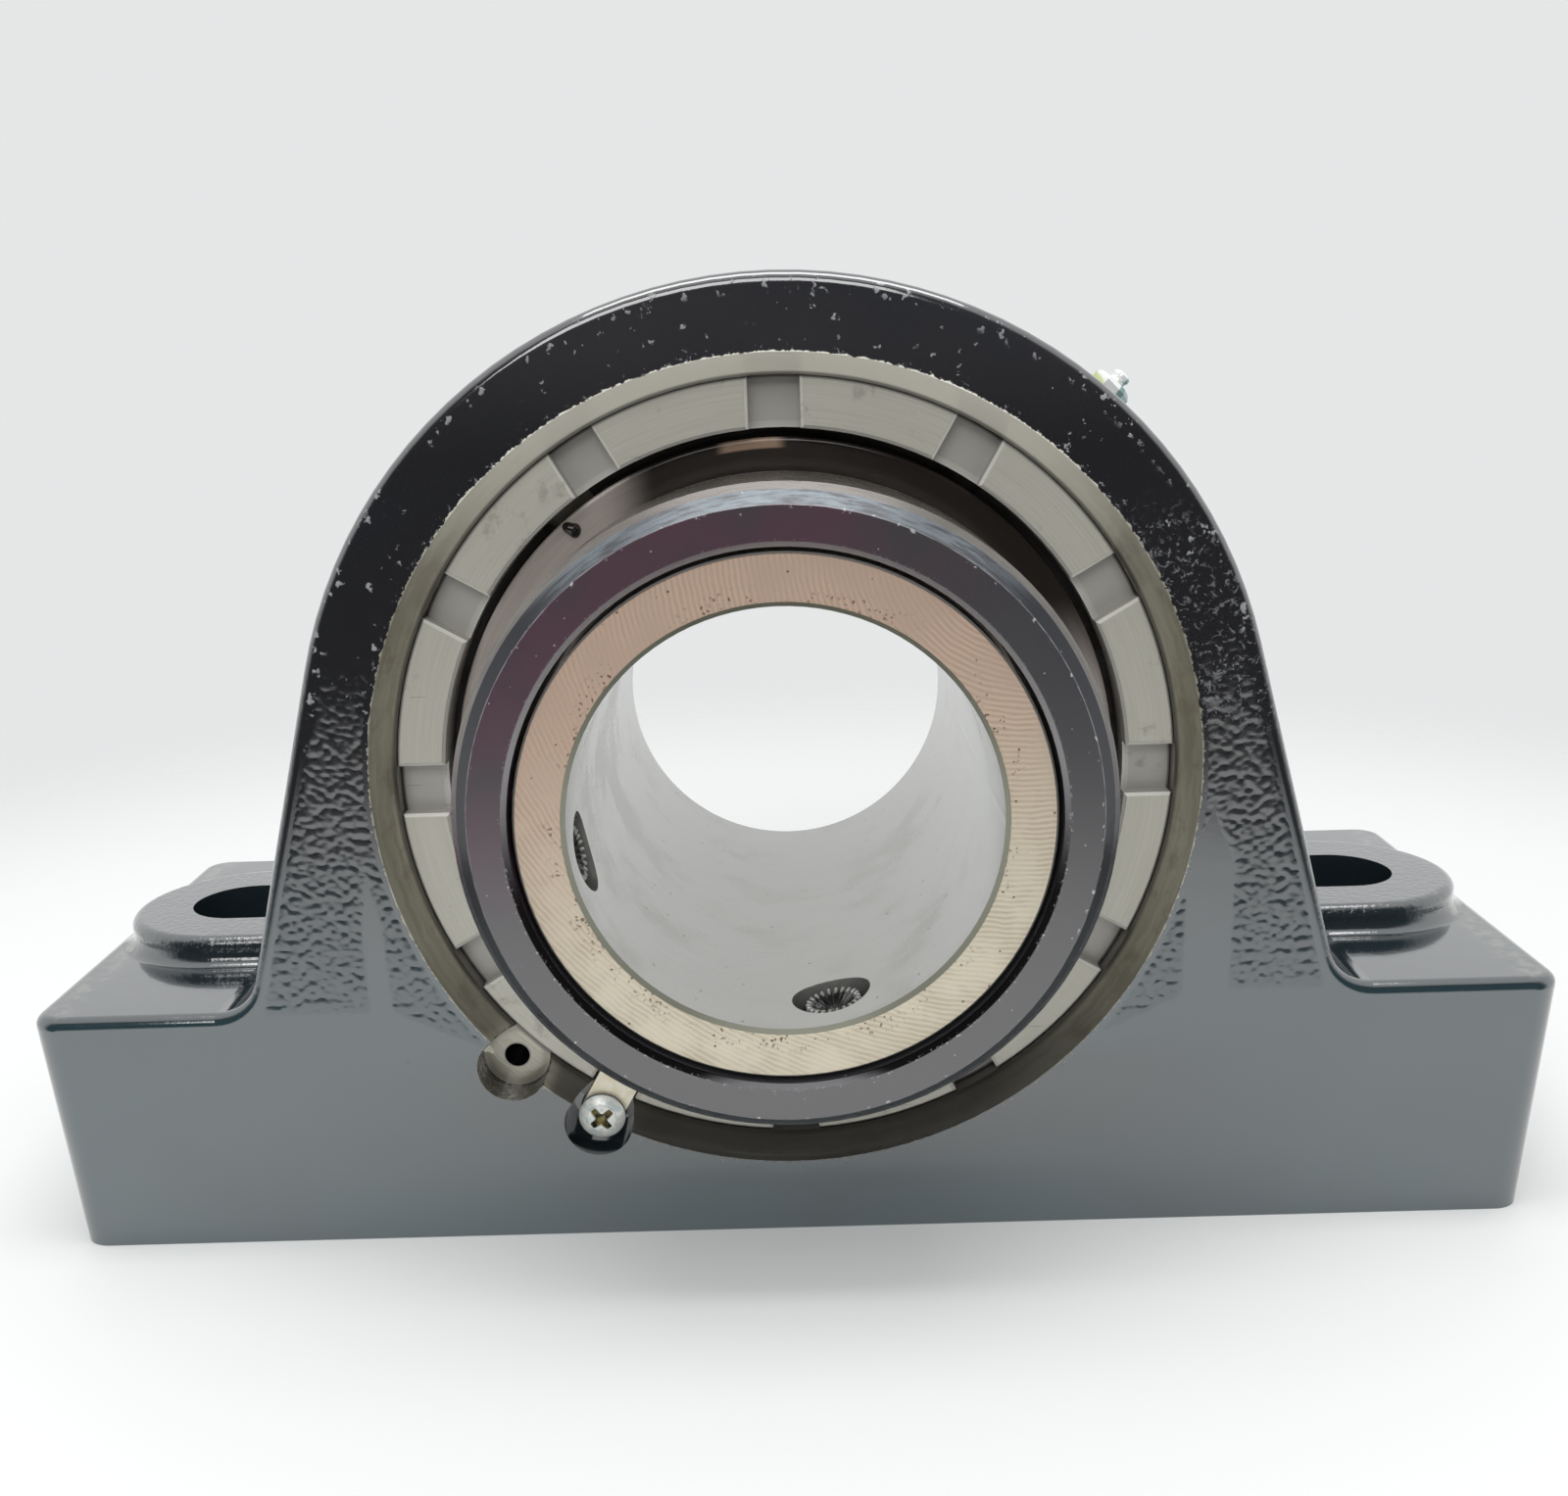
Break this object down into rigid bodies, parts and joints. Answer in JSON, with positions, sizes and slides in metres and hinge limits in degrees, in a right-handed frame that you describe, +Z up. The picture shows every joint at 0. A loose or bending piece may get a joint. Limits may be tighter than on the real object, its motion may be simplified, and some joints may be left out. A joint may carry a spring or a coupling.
{
  "type": "pillow block bearing",
  "caption": "Pillow block bearing: black cast housing with slotted feet, self-aligning roller bearing, notched cover and set-screw locking collar.",
  "frame": {"origin": "centre of the base face, straight under the bearing centre", "axes": "+Z up from the base, shaft along Y with the locking collar on the -Y side, +X along the feet"},
  "size_m": [0.2728, 0.1207, 0.1667],
  "materials": {
    "black_enamel": "glossy black enamel over cast iron",
    "machined_steel": "machined, oiled",
    "ground_steel": "ground and polished",
    "bearing_steel": "ground and polished",
    "polished_steel": "polished",
    "black_oxide": "black oxide, satin",
    "spring_steel": "blued spring steel",
    "seal_rubber": "matt black",
    "cage_brass": "machined",
    "zinc_plate": "bright zinc plating",
    "yellow_zinc": "yellow zinc plating"
  },
  "bodies": {
    "base": {"housing": "black_enamel", "outer_ring": "bearing_steel", "threaded_cover": "machined_steel", "seal_case_front": "machined_steel", "seal_case_rear": "machined_steel", "snap_ring_front": "spring_steel", "snap_ring_rear": "spring_steel", "lock_tab": "zinc_plate", "lock_screw": "zinc_plate", "grease_fitting": "yellow_zinc"},
    "guide": {"guide_ring": "bearing_steel"},
    "seals": {"seal_ring_front": "seal_rubber", "seal_ring_rear": "seal_rubber"},
    "rotor": {"inner_ring": "ground_steel", "locking_collar": "black_oxide", "flinger_front": "polished_steel", "flinger_rear": "polished_steel"},
    "cage_set": {"cage_front": "cage_brass", "cage_rear": "cage_brass", "rollers_front": "bearing_steel", "rollers_rear": "bearing_steel"},
    "screw_1": {"set_screw_1": "black_oxide"},
    "screw_2": {"set_screw_2": "black_oxide"}
  },
  "joints": [
    {"name": "align_pitch", "type": "hinge", "parent": "base", "child": "guide", "pos_m": [0, 0, 0.08414], "axis": [1, 0, 0], "range_deg": [-1.5, 1.5]},
    {"name": "align_yaw", "type": "hinge", "parent": "guide", "child": "seals", "pos_m": [0, 0, 0.08414], "axis": [0, 0, 1], "range_deg": [-1.5, 1.5]},
    {"name": "shaft_spin", "type": "hinge", "parent": "seals", "child": "rotor", "pos_m": [0, 0, 0.08414], "axis": [0, 1, 0], "continuous": true},
    {"name": "cage_spin", "type": "hinge", "parent": "seals", "child": "cage_set", "pos_m": [0, 0, 0.08414], "axis": [0, 1, 0], "continuous": true},
    {"name": "screw_1_travel", "type": "slide", "parent": "rotor", "child": "screw_1", "axis": [0.9799, 0, 0.1994], "range_m": [-0.006, 0.0012]},
    {"name": "screw_2_travel", "type": "slide", "parent": "rotor", "child": "screw_2", "axis": [-0.1994, 0, 0.9799], "range_m": [-0.006, 0.0012]}
  ],
  "couplings": [
    {"joint": "cage_spin", "follows": "shaft_spin", "ratio": 0.432}
  ]
}
